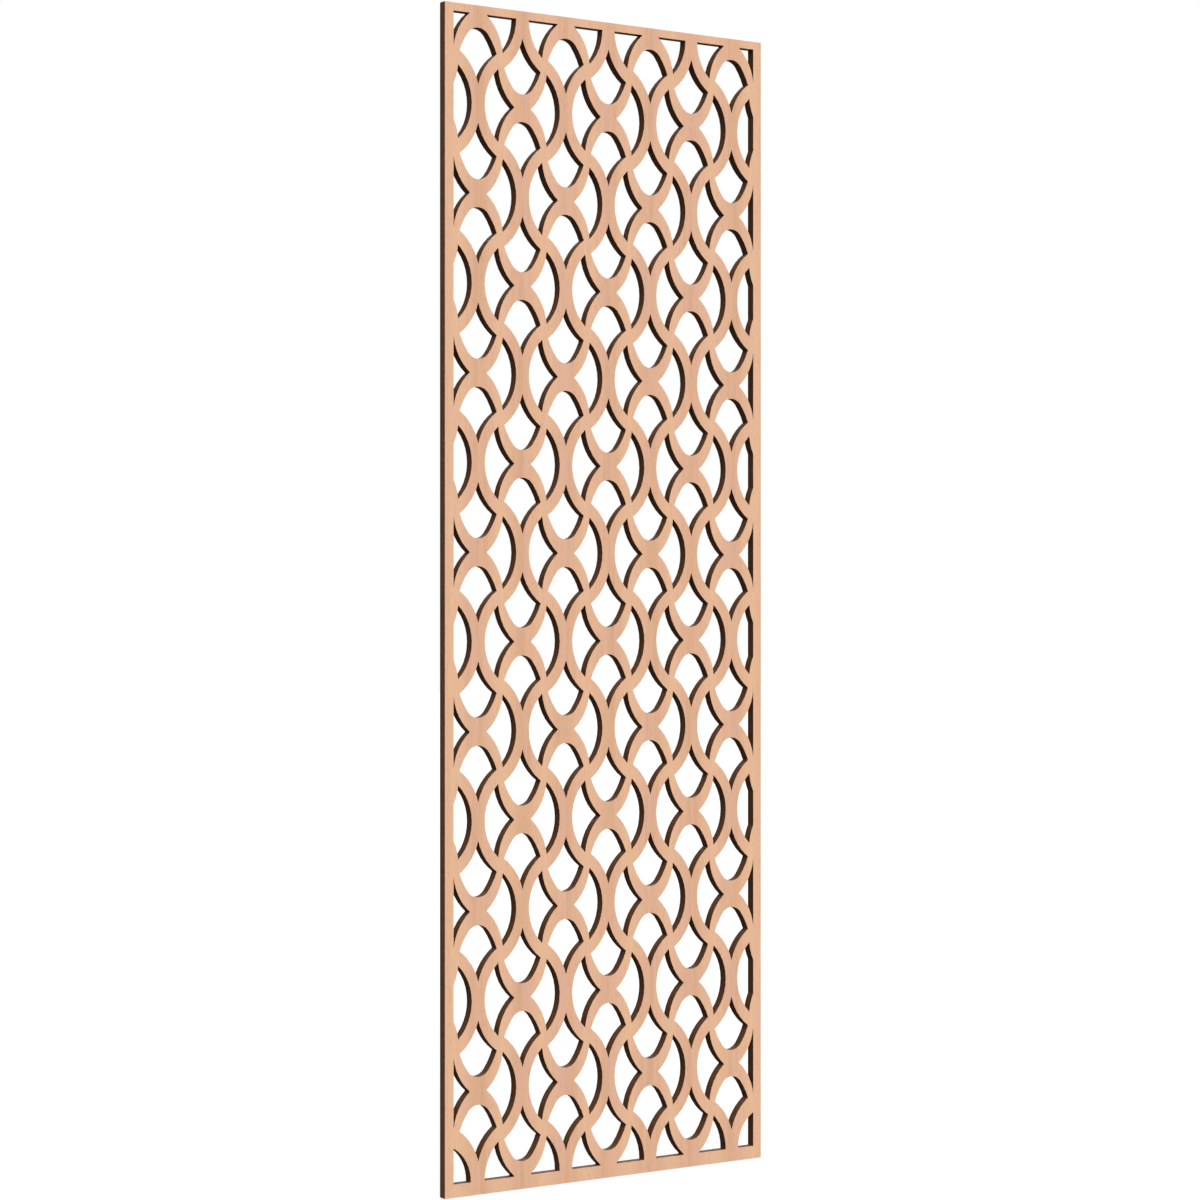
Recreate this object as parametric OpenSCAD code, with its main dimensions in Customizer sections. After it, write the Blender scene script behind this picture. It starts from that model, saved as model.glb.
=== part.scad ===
// Fretwork wood panel: a tall plywood board with a wavy lattice cut right through it.
// The lattice is two sets of ribbons that weave across each other. Tall waves run from the top
// rail to the bottom rail and touch in pairs. Hoops, a U above and an arch below, touch between
// them. What is cut away is two kinds of window: eyes beside each place where waves touch, and
// drops above and below it. Every window edge is a circle arc, as a router or laser follows it.
// The two bottom corners have a plain window of one arc, with no hoop coming in from the side.
// The front faces -Y, the height runs along Z, and the origin is the middle of the bottom edge.

/* [Panel] */
// Width across the panel
panel_w = 390.5; // [376:0.5:410]
// Height from the bottom edge to the top edge
panel_h = 1184.3; // [1100:0.1:1260]
// Width of the plain border down each side
side_border = 10; // [8:0.1:13]
// Height of the plain rail along the top
top_rail = 8.2; // [6:0.1:13]
// Height of the plain rail along the bottom
bottom_rail = 13.1; // [8:0.1:16]

/* [Plies] */
// Thickness of the decorative veneer on each face
veneer_t = 0.6; // [0.4:0.1:1.2]
// Thickness of the cross-grained ply under each veneer
crossband_t = 2.6; // [1.5:0.1:3.5]
// Thickness of the ply in the middle
centre_t = 3.1; // [2:0.1:5]

/* [Lattice spacing] */
// Distance from one pattern column to the next
column_pitch = 52.2; // [51:0.1:54]
// Distance from one pattern row to the next
row_pitch = 89.4; // [87:0.1:92]

/* [Waves] */
// Half the width of two waves where they touch
touch_half_w = 7.5; // [6.5:0.1:8.5]
// Radius of a wave's inner edge, beside the eye window
wave_inner_r = 50.5; // [48:0.1:54]
// Radius of a wave's outer edge, beside the drop window
wave_outer_r = 56.4; // [56:0.1:58]
// Sideways distance from the column to the centre of the outer edge
wave_outer_x = 54.7; // [54:0.1:55.5]
// Distance along the column to the centre of the outer edge
wave_outer_y = 5.3; // [4:0.1:7]

/* [Hoops] */
// Radius of the hoop's round end, measured on its inner edge
crown_r = 14.7; // [13:0.1:15.5]
// Solid height between two hoops where they touch
hoop_touch_h = 27.7; // [26:0.1:30]
// Radius of the hoop's long inner sides
flank_r = 70; // [60:0.5:90]
// Radius of the hoop's outer edge, beside the eye window
hoop_outer_r = 54.7; // [53.5:0.1:56]
// Sideways distance from the column to the centre of the outer edge
hoop_outer_x = 25.7; // [25:0.1:26.4]
// Distance along the column to the centre of the outer edge
hoop_outer_y = 41.7; // [40.5:0.1:42.5]

/* [Bottom corners] */
// Half the width of the two waves beside a bottom corner, at the row line
corner_half_w = 8.6; // [7.5:0.1:10]
// Radius of the one arc that bounds the window in a bottom corner
corner_r = 40.8; // [36:0.1:46]

/* [Hidden] */
$fn = 96;
// Depth and the faces of each ply, counted from the back of the board
panel_t = 2 * veneer_t + 2 * crossband_t + centre_t;
back_y = panel_t / 2;
back_crossband_y = back_y - veneer_t;
centre_y = back_crossband_y - crossband_t;
front_crossband_y = centre_y - centre_t;
front_veneer_y = front_crossband_y - crossband_t;

// The cut area inside the border, and the row line that lies on the top rail's edge
cut_w = panel_w - 2 * side_border;
cut_h = panel_h - top_rail - bottom_rail;
cut_top = panel_h - top_rail;

// How many columns each side of the middle one, and how many rows, reach into the cut area
column_reach = ceil(cut_w / 2 / column_pitch);
row_reach = floor(cut_h / row_pitch);
// The last column inside the border, on each side
border_column = floor(cut_w / 2 / column_pitch);

// A hoop's round end turns into its sides where a 3-4-5 triangle touches the circle
shoulder_run = 4 / 5;
shoulder_rise = 3 / 5;
// Centre of the round end, counted from the place where waves touch, one row away
crown_y = row_pitch - hoop_touch_h / 2 - crown_r;
shoulder_y = crown_y + crown_r * shoulder_rise;
// Centre of a side's circle, in line with the shoulder, so the two arcs meet without a corner
flank_x = (flank_r - crown_r) * shoulder_run;
flank_y = crown_y - (flank_r - crown_r) * shoulder_rise;
// Where the outer edges of two waves part above the place where they touch
drop_tip_y = wave_outer_y + sqrt(pow(wave_outer_r, 2) - pow(wave_outer_x, 2));

// Draws its child as it is and mirrored across the given direction
module both_ways(direction) {
    children();
    mirror(direction) children();
}

// Window to the right of the place where two waves touch. The wave's inner edge is its left
// side. The outer edges of the next column's hoops cut the circle away down to a cusp.
module eye_window() {
    difference() {
        translate([touch_half_w + wave_inner_r, 0])
            circle(r = wave_inner_r);
        both_ways([0, 1, 0])
            translate([column_pitch + hoop_outer_x, hoop_outer_y])
                circle(r = hoop_outer_r);
    }
}

// Window in a bottom corner, to the right of its waves. The border and the rail are its other
// two sides.
module corner_window() {
    translate([corner_half_w + corner_r, 0])
        circle(r = corner_r);
}

// The two windows beside a bottom corner's waves, for the right side of the panel
module corner_pair() {
    corner_window();
    mirror([1, 0, 0])
        eye_window();
}

// The two windows left and right of the place where waves touch
module side_windows(column, row) {
    if (row == row_reach && column == border_column)
        corner_pair();
    else if (row == row_reach && column == -border_column)
        mirror([1, 0, 0])
            corner_pair();
    else
        both_ways([1, 0, 0])
            eye_window();
}

// Inside of a hoop: two long sides leaning together and a round end between them
module hoop_inside() {
    intersection() {
        translate([-flank_x, flank_y])
            circle(r = flank_r);
        translate([flank_x, flank_y])
            circle(r = flank_r);
        translate([-column_pitch / 2, drop_tip_y / 2])
            square([column_pitch, shoulder_y - drop_tip_y / 2]);
    }
    intersection() {
        translate([0, crown_y])
            circle(r = crown_r);
        translate([-column_pitch / 2, shoulder_y])
            square([column_pitch, crown_r]);
    }
}

// Window above the place where two waves touch. It starts as a point between the waves' outer
// edges and ends inside the hoop.
module drop_window() {
    difference() {
        hoop_inside();
        both_ways([1, 0, 0])
            translate([wave_outer_x, wave_outer_y])
                circle(r = wave_outer_r);
    }
}

// Waves touch at every second crossing of a column and a row, like the black squares of a
// chessboard, and each touch has four windows round it
module all_windows() {
    for (column = [-column_reach : column_reach])
        for (row = [0 : row_reach])
            if ((column + row) % 2 == 0)
                translate([column * column_pitch, cut_top - row * row_pitch]) {
                    side_windows(column, row);
                    both_ways([0, 1, 0])
                        drop_window();
                }
}

// Flat outline of the cut board, the same through every ply
module board_outline() {
    difference() {
        translate([-panel_w / 2, 0])
            square([panel_w, panel_h]);
        intersection() {
            translate([-cut_w / 2, bottom_rail])
                square([cut_w, cut_h]);
            all_windows();
        }
    }
}

// One ply standing upright, its back at the given depth
module ply(depth_y, thickness) {
    translate([0, depth_y, 0])
        rotate([90, 0, 0])
            linear_extrude(height = thickness)
                board_outline();
}

// Thin veneer that faces the wall
module back_veneer() {
    color([0.80, 0.62, 0.47])
        ply(back_y, veneer_t);
}

// Ply with its grain across the panel, behind the centre
module back_crossband() {
    color([0.62, 0.46, 0.32])
        ply(back_crossband_y, crossband_t);
}

// Thick ply in the middle of the board
module centre_core() {
    color([0.50, 0.35, 0.24])
        ply(centre_y, centre_t);
}

// Ply with its grain across the panel, in front of the centre
module front_crossband() {
    color([0.62, 0.46, 0.32])
        ply(front_crossband_y, crossband_t);
}

// Thin veneer that is seen from the front
module front_veneer() {
    color([0.89, 0.72, 0.59])
        ply(front_veneer_y, veneer_t);
}

back_veneer();
back_crossband();
centre_core();
front_crossband();
front_veneer();
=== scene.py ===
# %% [markdown]
# # A fretwork wood panel
#
# This lesson dresses a tall plywood board with a wavy lattice cut right through it. The five plies
# come finished from the construction model, so nothing here changes their shape. What is left to
# Blender is how they look: a pinkish tan face with fine upright grain, and cut walls that the
# cutting heat has browned. The lesson first builds four effects as node groups, then the finishes
# that are put together from them, and last the floor, the light and the camera.

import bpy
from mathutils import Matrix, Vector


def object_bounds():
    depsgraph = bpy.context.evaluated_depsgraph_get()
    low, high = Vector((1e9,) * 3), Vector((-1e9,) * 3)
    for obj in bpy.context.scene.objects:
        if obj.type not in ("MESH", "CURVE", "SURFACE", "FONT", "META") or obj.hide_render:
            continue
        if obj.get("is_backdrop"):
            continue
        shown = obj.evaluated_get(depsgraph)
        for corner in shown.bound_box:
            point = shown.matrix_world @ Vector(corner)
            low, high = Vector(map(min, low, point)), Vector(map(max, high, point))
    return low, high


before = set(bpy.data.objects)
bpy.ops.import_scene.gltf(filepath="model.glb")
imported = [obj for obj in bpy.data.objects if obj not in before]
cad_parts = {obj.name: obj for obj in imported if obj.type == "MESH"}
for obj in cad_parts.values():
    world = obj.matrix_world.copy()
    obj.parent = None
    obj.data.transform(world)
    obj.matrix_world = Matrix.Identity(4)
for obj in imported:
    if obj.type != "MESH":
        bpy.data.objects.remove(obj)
cad_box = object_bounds()
print("nodes:", sorted(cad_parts))
print("box in metres:", [[round(float(v), 5) for v in corner] for corner in cad_box])

# %% tools
import math

import bpy
from mathutils import Vector

print("made with Blender", bpy.app.version_string)

# %% [markdown]
# ## Measures
#
# Everything is in metres. The origin is the middle of the board's bottom edge, Z runs up the board
# and the front looks along -Y. The board's own sizes could be typed in again, but the box of the
# construction model already holds them, so they are read from it. Only the lattice's column pitch
# is written here: the broad soft bands in the veneer come about once in every column.

# %% measures
MM = 0.001
COLUMN_PITCH = 52.2 * MM
box_low, box_high = cad_box
panel_height = box_high[2] - box_low[2]
board_thickness = box_high[1] - box_low[1]
front_y = box_low[1]
print("height", round(panel_height, 4), "thickness", round(board_thickness, 4))
print("the front lies at Y", round(front_y, 5))


# %% [markdown]
# ## Colours
#
# Colours are written as the numbers read off a photo, 0 to 255. Blender's shaders count light
# instead, so each channel is turned into its share of light first. The shares could be typed in
# directly, but then nobody could tell a tan from a brown by reading them.

# %% colour helper
def wood_tone(red, green, blue):
    """A colour as read off, 0 to 255, turned into shares of light for a shader."""
    shares = []
    for channel in (red, green, blue):
        c = channel / 255
        shares.append(c / 12.92 if c <= 0.04045 else ((c + 0.055) / 1.055) ** 2.4)
    return (*shares, 1.0)


print("a mid grey of 128 gives back", round(wood_tone(128, 128, 128)[0], 3), "of the light")


# %% [markdown]
# ## Short hands for node trees
#
# A node tree could be built with Blender's own calls alone, at four or five lines for each node. It
# is easier to read when each line adds one node and says what feeds it. These first helpers add a
# node and set its values or plug in what it is given. They hold no look.

# %% adding a node
def plug(tree, socket, value):
    """Feeds a socket from another socket, or sets it to a plain value."""
    if isinstance(value, bpy.types.NodeSocket):
        tree.links.new(value, socket)
    else:
        socket.default_value = value


def add_node(tree, kind, settings=None, **feeds):
    """Adds a node. Feeds name its inputs, with _ for a space."""
    node = tree.nodes.new(kind)
    for name, value in (settings or {}).items():
        setattr(node, name, value)
    for name, value in feeds.items():
        plug(tree, node.inputs[name.replace("_", " ")], value)
    return node


print("helpers that add a node are ready")


# %% [markdown]
# ## Sums, blends and ranges
#
# Most of a wood finish is small sums on numbers from 0 to 1: how much of a streak, how much of a
# wall. Three helpers do them all: a sum, a blend of two colours by a share, and a range that is
# stretched softly over 0 to 1.

# %% sums, blends and ranges
def reckon(tree, operation, a, b=0.0, c=0.0, clamp=False):
    """One sum on numbers, such as MULTIPLY. Only MULTIPLY_ADD looks at c."""
    node = add_node(tree, "ShaderNodeMath", {"operation": operation, "use_clamp": clamp})
    for socket, value in zip(node.inputs, (a, b, c)):
        plug(tree, socket, value)
    return node.outputs[0]


def blend_tones(tree, share, first, second):
    """Mixes two colours by a share from 0 to 1."""
    node = add_node(tree, "ShaderNodeMix", {"data_type": "RGBA"}, Factor=share)
    plug(tree, node.inputs[6], first)
    plug(tree, node.inputs[7], second)
    return node.outputs[2]


def spread(tree, value, low, high):
    """Stretches the range low to high over 0 to 1, softly at both ends."""
    settings = {"interpolation_type": "SMOOTHSTEP"}
    node = add_node(tree, "ShaderNodeMapRange", settings, Value=value, From_Min=low, From_Max=high)
    return node.outputs["Result"]


print("helpers for sums, blends and ranges are ready")


# %% [markdown]
# ## Noise with a size in the wood
#
# Fibres, streaks and pores are all uneven spots, drawn out along the tree. Blender's noise is round
# and its scale is a bare number. Here a place in the wood is divided by the size of one spot before
# the noise looks at it, so each noise is asked for as a woodworker would: this wide, this deep,
# this long, in millimetres.

# %% noise
def spots(tree, place, size_mm, detail=2.0, roughness=0.5):
    """A soft noise from 0 to 1, its spots as wide, deep and long as size_mm says."""
    scaled = add_node(tree, "ShaderNodeVectorMath", {"operation": "DIVIDE"})
    plug(tree, scaled.inputs[0], place)
    plug(tree, scaled.inputs[1], [side * MM for side in size_mm])
    noise = add_node(
        tree, "ShaderNodeTexNoise",
        Vector=scaled.outputs[0], Scale=1.0, Detail=detail, Roughness=roughness,
    )
    return noise.outputs["Fac"]


print("noise helper ready")


# %% [markdown]
# ## Starting a shared effect
#
# The same toast shows in three finishes, and the same layers in two. Their nodes could be copied
# into each material, but a later change would then have to be made three times. A shader node group
# is built once and placed in each material with its own values. Even where only one finish uses it,
# a group keeps a large tree readable. Its sockets are made first: what the effect takes, with a
# default where that helps, and what it gives.

# %% starting a shared effect
FLOAT, COLOUR, VECTOR = "NodeSocketFloat", "NodeSocketColor", "NodeSocketVector"


def new_effect(name, takes, gives):
    """Starts a shader node group and returns its tree, its inputs and its output node."""
    tree = bpy.data.node_groups.new(name, "ShaderNodeTree")
    for label, kind, value in takes:
        socket = tree.interface.new_socket(label, in_out="INPUT", socket_type=kind)
        if value is not None:
            socket.default_value = value
    for label, kind in gives:
        tree.interface.new_socket(label, in_out="OUTPUT", socket_type=kind)
    return tree, tree.nodes.new("NodeGroupInput").outputs, tree.nodes.new("NodeGroupOutput")


print("socket kinds:", FLOAT, COLOUR, VECTOR)

# %% [markdown]
# ## Effect: the figure of an upright grain
#
# On the real veneer the tree's growth shows as broad soft bands, a little pinker and darker than
# the wood between them. Narrow streaks, some pinker and some browner, run up the board for a hand's
# length or more, with fine fibres and small open pores among them. A photo of wood would look right
# only from one side and would repeat, so the figure is worked out from the place in the wood. The
# bands lean on a slow wave at the column pitch, and noise keeps them from looking ruled.

# %% effect: upright figure
figure, given, result = new_effect(
    "upright_figure",
    [("Place", VECTOR, None), ("Band Pitch", FLOAT, COLUMN_PITCH), ("Wander", FLOAT, 0.35)],
    [("Bands", FLOAT), ("Streaks", FLOAT), ("Patches", FLOAT), ("Fibres", FLOAT), ("Pores", FLOAT)],
)
across = add_node(figure, "ShaderNodeSeparateXYZ", Vector=given["Place"]).outputs["X"]
pitches = reckon(figure, "DIVIDE", across, given["Band Pitch"])
drift = reckon(figure, "SUBTRACT", spots(figure, given["Place"], (29, 17, 385)), 0.5)
pitches = reckon(figure, "MULTIPLY_ADD", drift, given["Wander"], pitches)
swing = reckon(figure, "COSINE", reckon(figure, "MULTIPLY", pitches, 2 * math.pi))
plug(figure, result.inputs["Bands"], reckon(figure, "MULTIPLY_ADD", swing, 0.5, 0.5))

# Each row: what it is, the size of a spot, detail, roughness, and the range that is kept
GRAIN = (
    ("Streaks", (5.3, 6.7, 310), 2.0, 0.60, 0.38, 0.62),
    ("Patches", (14, 14, 77), 3.0, 0.55, 0.30, 0.70),
    ("Fibres", (1.6, 1.6, 62), 4.0, 0.62, 0.28, 0.72),
    ("Pores", (0.38, 0.38, 6.7), 1.0, 0.50, 0.62, 0.74),
)
for grain_name, size_mm, detail, roughness, low, high in GRAIN:
    noise = spots(figure, given["Place"], size_mm, detail, roughness)
    plug(figure, result.inputs[grain_name], spread(figure, noise, low, high))
print("upright_figure nodes:", len(figure.nodes))

# %% [markdown]
# ## Effect: which surface is a cut wall
#
# The front and back of a ply look along Y. Everything else is a wall that the cutter left: the
# inside of each window and the board's four edges. The walls could be picked face by face and given
# a material of their own. But the direction that a surface looks in, measured in the board's own
# axes, already tells them apart, and it still does when the lattice changes. This way one finish
# holds both, and a veneer only 0.6 mm thick gets a browned rim of just that width.

# %% effect: cut wall
wall, given, result = new_effect("cut_wall", [("Facing", VECTOR, None)], [("Wall", FLOAT)])
# Looking along Y counts 1.0 and a wall counts 0.0, so any two limits well between them will do
depthwise = add_node(wall, "ShaderNodeSeparateXYZ", Vector=given["Facing"]).outputs["Y"]
flatness = spread(wall, reckon(wall, "ABSOLUTE", depthwise), low=0.5, high=0.8)
plug(wall, result.inputs["Wall"], reckon(wall, "SUBTRACT", 1.0, flatness))
print("cut_wall nodes:", len(wall.nodes))

# %% [markdown]
# ## Effect: wood browned by the cutting
#
# The walls are dark brown because the cutting heat has toasted them. The toast is uneven: it comes
# in faint lines through the thickness, where the cutter moved on in small steps, and in longer
# lighter and darker stretches along the wall. It could be one dark colour, but close up that reads
# as paint, so two noises mix a lighter and a darker toast. The cut went in at the front, and its
# smoke left at the back, so the last few millimetres before the back face carry more soot. Soot is
# a share of the depth, so it runs on evenly from one ply to the next.

# %% effect: browned cut
SOOT_TONE = wood_tone(30, 22, 18)
RIDGE_SHARE = 0.55
toast, given, result = new_effect(
    "browned_cut",
    [
        ("Place", VECTOR, None), ("Light Toast", COLOUR, None), ("Dark Toast", COLOUR, None),
        ("Soot", FLOAT, 0.5),
    ],
    [("Color", COLOUR), ("Ridges", FLOAT)],
)
stretches = spots(toast, given["Place"], (11, 50, 11))
ridges = spots(toast, given["Place"], (0.67, 17, 0.67), roughness=0.6)
unevenness = reckon(
    toast, "MULTIPLY_ADD", ridges, RIDGE_SHARE,
    reckon(toast, "MULTIPLY", stretches, 1 - RIDGE_SHARE), clamp=True,
)
lightness = spread(toast, unevenness, low=0.3, high=0.7)
toasted = blend_tones(toast, lightness, given["Dark Toast"], given["Light Toast"])
depth = add_node(toast, "ShaderNodeSeparateXYZ", Vector=given["Place"]).outputs["Y"]
nearness_to_back = spread(toast, depth, low=0.0, high=board_thickness / 2)
soot = reckon(toast, "MULTIPLY", nearness_to_back, given["Soot"])
plug(toast, result.inputs["Color"], blend_tones(toast, soot, toasted, SOOT_TONE))
plug(toast, result.inputs["Ridges"], ridges)
print("browned_cut nodes:", len(toast.nodes))

# %% [markdown]
# ## Effect: long grain and end grain in a ply's edge
#
# A ply shows long grain on a wall that runs with its fibres, and end grain on a wall that cuts
# across them. End grain soaks up heat and goes darker. The two could be two materials, but a window
# wall turns from one to the other without a break. So the effect compares the way the wall looks
# with the way the fibres run: the crossbands' fibres run across the board and the core's run up it,
# and the same effect serves both.

# %% effect: ply edge
edge, given, result = new_effect(
    "ply_edge",
    [("Place", VECTOR, None), ("Facing", VECTOR, None), ("Fibre", VECTOR, None)],
    [("End Grain", FLOAT), ("Lines", FLOAT)],
)
along_fibre = add_node(edge, "ShaderNodeVectorMath", {"operation": "DOT_PRODUCT"})
plug(edge, along_fibre.inputs[0], given["Facing"])
plug(edge, along_fibre.inputs[1], given["Fibre"])
end_share = reckon(edge, "ABSOLUTE", along_fibre.outputs["Value"])
plug(edge, result.inputs["End Grain"], spread(edge, end_share, low=0.35, high=0.95))
lines = spots(edge, given["Place"], (17, 0.42, 17), detail=3.0, roughness=0.6)
plug(edge, result.inputs["Lines"], spread(edge, lines, low=0.3, high=0.7))
print("ply_edge nodes:", len(edge.nodes))


# %% [markdown]
# ## Starting a finish
#
# Every finish is a material with one Principled shader. It could take its place from the room, but
# then the grain would slide through the wood when the panel moves. So it takes the place from the
# object's own coordinates. The gloss is the same all over and is set on the shader itself. Colour,
# roughness and relief change from spot to spot and are fed by the effects.

# %% starting a finish
def new_finish(name, gloss):
    """A material with its shader, the place in the wood and the direction the surface looks in."""
    material = bpy.data.materials.new(name)
    material.use_nodes = True
    tree = material.node_tree
    shader = tree.nodes["Principled BSDF"]
    shader.inputs["Specular IOR Level"].default_value = gloss
    coords = add_node(tree, "ShaderNodeTexCoord").outputs
    return material, tree, shader, coords["Object"], coords["Normal"]


def use_effect(tree, effect, **feeds):
    """Places a shared effect in a material with its own values."""
    return add_node(tree, "ShaderNodeGroup", {"node_tree": effect}, **feeds).outputs


def set_dullness(tree, shader, mask, least, more):
    """Feeds a roughness that is least where the mask is 0 and grows by more where it is 1."""
    plug(tree, shader.inputs["Roughness"], reckon(tree, "MULTIPLY_ADD", mask, more, least))


def raise_grain(tree, shader, height, distance):
    """Feeds a height into the shader as bump. The distance is how deep a full height is."""
    bump = add_node(tree, "ShaderNodeBump", Height=height, Strength=1.0, Distance=distance)
    plug(tree, shader.inputs["Normal"], bump.outputs["Normal"])


print("finishes can be started")

# %% [markdown]
# ## Finish: face veneer
#
# The veneer is what is seen first: smooth, sanded, unfinished wood. It could be one flat tan, which
# is nearly what it looks from two metres away, but close up bare wood is never flat. So its colour
# is built up as the wood is, at low contrast. Light and dark bands come first. Each has a brown and
# a pink tone, and the narrow streaks choose between them, so a streak changes the wood's hue and
# hardly its lightness. Small yellower patches, fibres and pores follow. Where the surface is a cut
# wall, the same sheet turns to the browned tone.

# %% finish: face veneer
LIGHT_BROWN = wood_tone(228, 184, 148)
LIGHT_PINK = wood_tone(224, 180, 152)
DARK_BROWN = wood_tone(209, 163, 130)
DARK_PINK = wood_tone(217, 171, 148)
# What lies over the bands: the grain's name, its tone and how much of it shows
OVERLAYS = (
    ("Patches", wood_tone(228, 180, 141), 0.40),
    ("Fibres", wood_tone(208, 161, 128), 0.30),
    ("Pores", wood_tone(150, 100, 70), 0.35),
)

face_veneer, tree, shader, place, facing = new_finish("face_veneer", gloss=0.25)
grain = use_effect(tree, figure, Place=place)
light_wood = blend_tones(tree, grain["Streaks"], LIGHT_BROWN, LIGHT_PINK)
dark_wood = blend_tones(tree, grain["Streaks"], DARK_BROWN, DARK_PINK)
wood = blend_tones(tree, grain["Bands"], light_wood, dark_wood)
for grain_name, tone, strength in OVERLAYS:
    wood = blend_tones(tree, reckon(tree, "MULTIPLY", grain[grain_name], strength), wood, tone)
print("face_veneer nodes so far:", len(tree.nodes))

# %% [markdown]
# ### The veneer's rim and relief
#
# The rim takes the same toast as the plies below it. Bare wood is matt, and fibres and toasted wood
# are a little rougher than the ground between them. Fibres and pores lie a few hundredths of a
# millimetre deep. That could be cut into the mesh, but it would take millions of faces, so it is
# bump.

# %% the veneer's rim and relief
VENEER_RELIEF = 0.04 * MM
on_wall = use_effect(tree, wall, Facing=facing)["Wall"]
rim = use_effect(
    tree, toast, Place=place,
    Light_Toast=wood_tone(112, 72, 44), Dark_Toast=wood_tone(82, 51, 31),
)
plug(tree, shader.inputs["Base Color"], blend_tones(tree, on_wall, wood, rim["Color"]))
set_dullness(tree, shader, reckon(tree, "ADD", grain["Fibres"], on_wall), least=0.55, more=0.12)
hollows = reckon(tree, "MULTIPLY_ADD", grain["Fibres"], 0.5, grain["Pores"])
raise_grain(tree, shader, reckon(tree, "SUBTRACT", 1.0, hollows), VENEER_RELIEF)
print("face_veneer nodes:", len(tree.nodes))


# %% [markdown]
# ## Finish: crossband and core plies
#
# Between the veneers lie three plies whose edges are all that is ever seen. They are the same wood
# toasted the same way, so a single finish would nearly do. But a plywood edge is read by its
# layers: end grain beside long grain, and fine lines along each ply. So both finishes use the same
# effects with their own fibre direction, and the core is a shade darker than the crossbands.

# %% finish: plies
PLY_RELIEF = 0.05 * MM
END_GRAIN_STRENGTH = 0.45
LINE_STRENGTH = 0.35


def ply_finish(name, fibre, light_toast, dark_toast, end_toast):
    """A browned ply edge whose end grain is darker than its long grain."""
    material, tree, shader, place, facing = new_finish(name, gloss=0.03)
    browned = use_effect(tree, toast, Place=place, Light_Toast=light_toast, Dark_Toast=dark_toast)
    layers = use_effect(tree, edge, Place=place, Facing=facing, Fibre=fibre)
    end_share = reckon(tree, "MULTIPLY", layers["End Grain"], END_GRAIN_STRENGTH)
    line_share = reckon(tree, "MULTIPLY", layers["Lines"], LINE_STRENGTH)
    ended = blend_tones(tree, end_share, browned["Color"], end_toast)
    lined = blend_tones(tree, line_share, ended, dark_toast)
    plug(tree, shader.inputs["Base Color"], lined)
    set_dullness(tree, shader, browned["Ridges"], least=0.66, more=0.20)
    height = reckon(tree, "MULTIPLY_ADD", layers["Lines"], 0.6, browned["Ridges"])
    raise_grain(tree, shader, height, PLY_RELIEF)
    print(name, "nodes:", len(tree.nodes))
    return material


ACROSS = (1.0, 0.0, 0.0)
UPRIGHT = (0.0, 0.0, 1.0)
crossband_ply = ply_finish(
    "crossband_ply", ACROSS, light_toast=wood_tone(111, 73, 45),
    dark_toast=wood_tone(84, 54, 33), end_toast=wood_tone(76, 49, 31),
)
core_ply = ply_finish(
    "core_ply", UPRIGHT, light_toast=wood_tone(106, 69, 43),
    dark_toast=wood_tone(80, 51, 32), end_toast=wood_tone(72, 46, 29),
)

# %% [markdown]
# ## Dressing the plies
#
# The five plies could be modelled again in Blender with every finish built in. But they are the
# construction model's own solids and their shapes are right, so they stay. Each only gets its
# finish in place of the plain one that it came with.

# %% dress the plies
FINISH_OF_PLY = {
    "front_veneer": face_veneer,
    "front_crossband": crossband_ply,
    "centre_core": core_ply,
    "back_crossband": crossband_ply,
    "back_veneer": face_veneer,
}
for ply_name, finish in FINISH_OF_PLY.items():
    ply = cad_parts[ply_name]
    for material_slot in ply.material_slots:
        material_slot.material = finish
    print(ply_name, "->", finish.name, "faces:", len(ply.data.polygons))


# %% [markdown]
# ## White for the eye, plain light for the wood
#
# The photo shows the panel alone on white. More light would make the floor and sky white too, but
# it would also bleach the wood. Blender can tell who is looking: a ray from the camera, or one that
# left glass or gloss, sees the white, while the rays that light the wood see a plain grey.

# %% helpers for the studio
def grey(share):
    """A neutral colour that gives back this share of the light."""
    return (share, share, share, 1.0)


def seen_directly(tree):
    """1 where the camera, a gloss or a glass looks, 0 for the light that falls on the wood."""
    rays = add_node(tree, "ShaderNodeLightPath").outputs
    by_eye_or_gloss = reckon(tree, "MAXIMUM", rays["Is Camera Ray"], rays["Is Glossy Ray"])
    return reckon(tree, "MAXIMUM", by_eye_or_gloss, rays["Is Transmission Ray"])


def add_object(name, data):
    """Puts a mesh, a lamp or a camera into the scene."""
    thing = bpy.data.objects.new(name, data)
    bpy.context.scene.collection.objects.link(thing)
    return thing


print("studio helpers ready")

# %% [markdown]
# ## Floor
#
# A real studio has a pale floor lit more than the object. Here the floor keeps its own shading, so
# the panel's soft shadow stays, and where it is seen directly it adds its own white. It lies a hair
# under the board's bottom edge, so the two surfaces never fight for the same place.

# %% floor
FLOOR_REACH = 14.0
FLOOR_GAP = 0.5 * MM
corner_signs = ((-1, -1), (1, -1), (1, 1), (-1, 1))
floor_corners = [(x * FLOOR_REACH, y * FLOOR_REACH, -FLOOR_GAP) for x, y in corner_signs]
floor_mesh = bpy.data.meshes.new("studio_floor")
floor_mesh.from_pydata(floor_corners, [], [(0, 1, 2, 3)])
studio_floor = add_object("studio_floor", floor_mesh)
studio_floor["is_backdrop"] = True
print("floor reaches", FLOOR_REACH, "m each way")

# %% [markdown]
# ### The floor's paint
#
# The paint is a matt one that adds a plain white where it is seen directly. All white would hide
# the shadow, so about a quarter of what is seen is still the matt paint's own shading. For the rays
# that light the wood the paint is darker, so the floor doesn't brighten the walls that look down.

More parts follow.
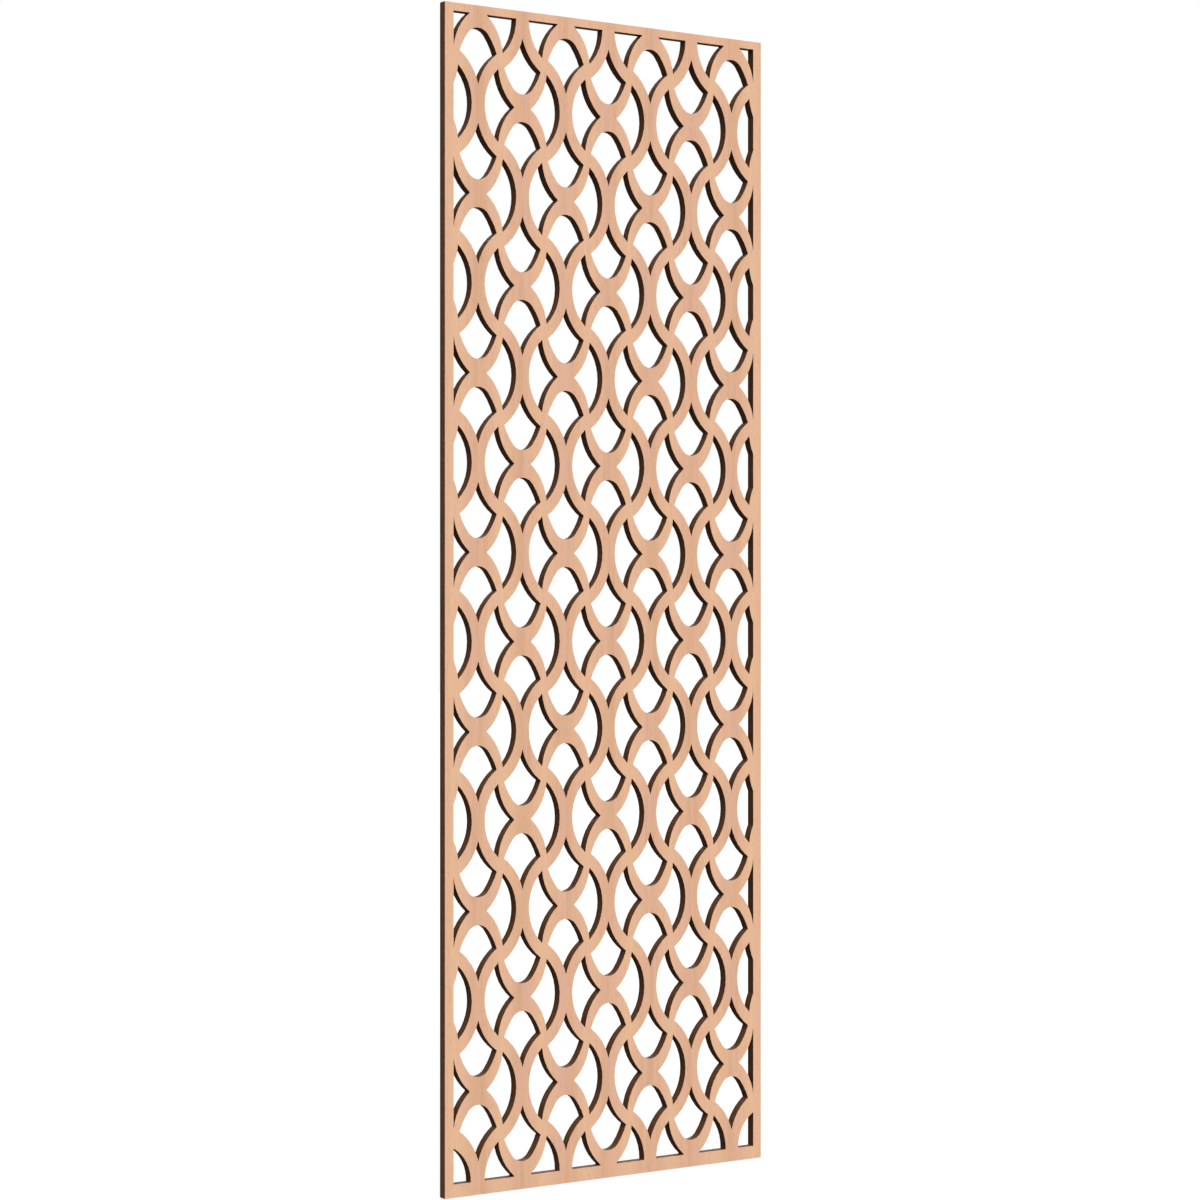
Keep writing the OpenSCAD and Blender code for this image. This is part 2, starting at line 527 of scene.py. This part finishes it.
# %% floor paint
MATT_SEEN = grey(0.24)
MATT_UNSEEN = grey(0.12)
WHITE_ADDED = 0.72
floor_paint = bpy.data.materials.new("pale_floor")
floor_paint.use_nodes = True
tree = floor_paint.node_tree
tree.nodes.remove(tree.nodes["Principled BSDF"])
seen = seen_directly(tree)
matt_tone = blend_tones(tree, seen, MATT_UNSEEN, MATT_SEEN)
matt = add_node(tree, "ShaderNodeBsdfDiffuse", Color=matt_tone)
added = reckon(tree, "MULTIPLY", seen, WHITE_ADDED)
added_white = add_node(tree, "ShaderNodeEmission", Color=grey(1.0), Strength=added)
both = tree.nodes.new("ShaderNodeAddShader")
plug(tree, both.inputs[0], matt.outputs[0])
plug(tree, both.inputs[1], added_white.outputs[0])
plug(tree, tree.nodes["Material Output"].inputs["Surface"], both.outputs[0])
floor_mesh.materials.append(floor_paint)
print("floor paint nodes:", len(tree.nodes))

# %% [markdown]
# ## Sky
#
# Look at the walls to find the light: those that look up are mid brown, and those that look down
# are nearly black. So most of the soft light comes from above. One even grey sky would light both
# alike, so this one is brighter overhead than at the horizon.

# %% sky
HORIZON = grey(0.20)
OVERHEAD = grey(0.86)
world = bpy.data.worlds.new("studio_sky")
bpy.context.scene.world = world
world.use_nodes = True
tree = world.node_tree
sky_place = add_node(tree, "ShaderNodeTexCoord").outputs["Generated"]
height = add_node(tree, "ShaderNodeSeparateXYZ", Vector=sky_place).outputs["Z"]
sky_light = blend_tones(tree, spread(tree, height, low=-0.1, high=0.9), HORIZON, OVERHEAD)
sky_colour = blend_tones(tree, seen_directly(tree), sky_light, grey(1.0))
plug(tree, tree.nodes["Background"].inputs["Color"], sky_colour)
print("sky nodes:", len(tree.nodes))


# %% [markdown]
# ## Lamps
#
# The face is evenly lit from top to bottom, so the main lamp is soft and far away: a near one would
# leave the far end of so tall a board darker. It shines from in front, a little to the left and
# well above. The board's outer left edge is lighter in the photo than the window walls that face
# the same way. A weak lamp nearly level with the board, straight from its left, gives that: it
# reaches the outer edge, while the ribbons shade each other's walls. A lamp behind keeps the back
# from going grey in other views.

# %% lamps
def soft_lamp(name, shines_from, spread_deg, strength):
    """A far, soft lamp that lights the whole panel evenly."""
    light = bpy.data.lights.new(name, "SUN")
    light.angle = math.radians(spread_deg)
    light.energy = strength
    lamp = add_object(name, light)
    lamp.rotation_euler = Vector(shines_from).to_track_quat("Z", "Y").to_euler()
    print(name, "shines from", shines_from, "spread", spread_deg, "degrees, strength", strength)


soft_lamp("front_lamp", (-0.12, -0.76, 0.64), spread_deg=40.0, strength=2.86)
soft_lamp("edge_lamp", (-1.0, 0.0, 0.15), spread_deg=8.0, strength=0.6)
soft_lamp("back_lamp", (0.45, 0.80, 0.40), spread_deg=40.0, strength=2.2)

# %% [markdown]
# ## Camera
#
# The camera could be moved by hand until the picture fits, but the photo's edges give it away. The
# face's top and bottom edges run together evenly, so the camera is level at the panel's mid height.
# How fast they do and how wide the face looks give an angle of 33.9 degrees to the left of the face
# and a distance of 3 metres. It aims a finger's width left of the panel's middle, and the lens is
# what makes the panel as tall as the frame.

# %% camera
LEFT_ANGLE = math.radians(33.879)
DISTANCE = 2.9983
AIM_LEFT = 10.6 * MM
SENSOR_MM = 36.0
LENS_MM = 87.87
aim = Vector((-AIM_LEFT, front_y, panel_height / 2))
toward_camera = Vector((-math.sin(LEFT_ANGLE), -math.cos(LEFT_ANGLE), 0.0))

camera_data = bpy.data.cameras.new("photo_camera")
camera_data.sensor_width = SENSOR_MM
camera_data.lens = LENS_MM
camera = add_object("photo_camera", camera_data)
camera.location = aim + DISTANCE * toward_camera
camera.rotation_euler = (math.radians(90), 0.0, -LEFT_ANGLE)
bpy.context.scene.camera = camera
print("camera at", [round(v, 4) for v in camera.location], "with a lens of", LENS_MM, "mm")

# %% [markdown]
# ## Plain view settings
#
# Blender's usual film look bends colours so that bright ones fade softly. The colours here were
# read off a finished picture, so the picture is shown without it.

# %% view settings
bpy.context.scene.view_settings.view_transform = "Standard"
print("view transform:", bpy.context.scene.view_settings.view_transform)

# %% [markdown]
#
# Nothing here may grow or move the board. The box of the construction model and the box of what is
# shown are compared, and their largest difference is printed.

shown_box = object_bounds()
boxes = [[[float(v) for v in corner] for corner in box] for box in (cad_box, shown_box)]
growth = max(abs(a - b) for cad, shown in zip(*boxes) for a, b in zip(cad, shown))
print("largest difference in metres:", growth)
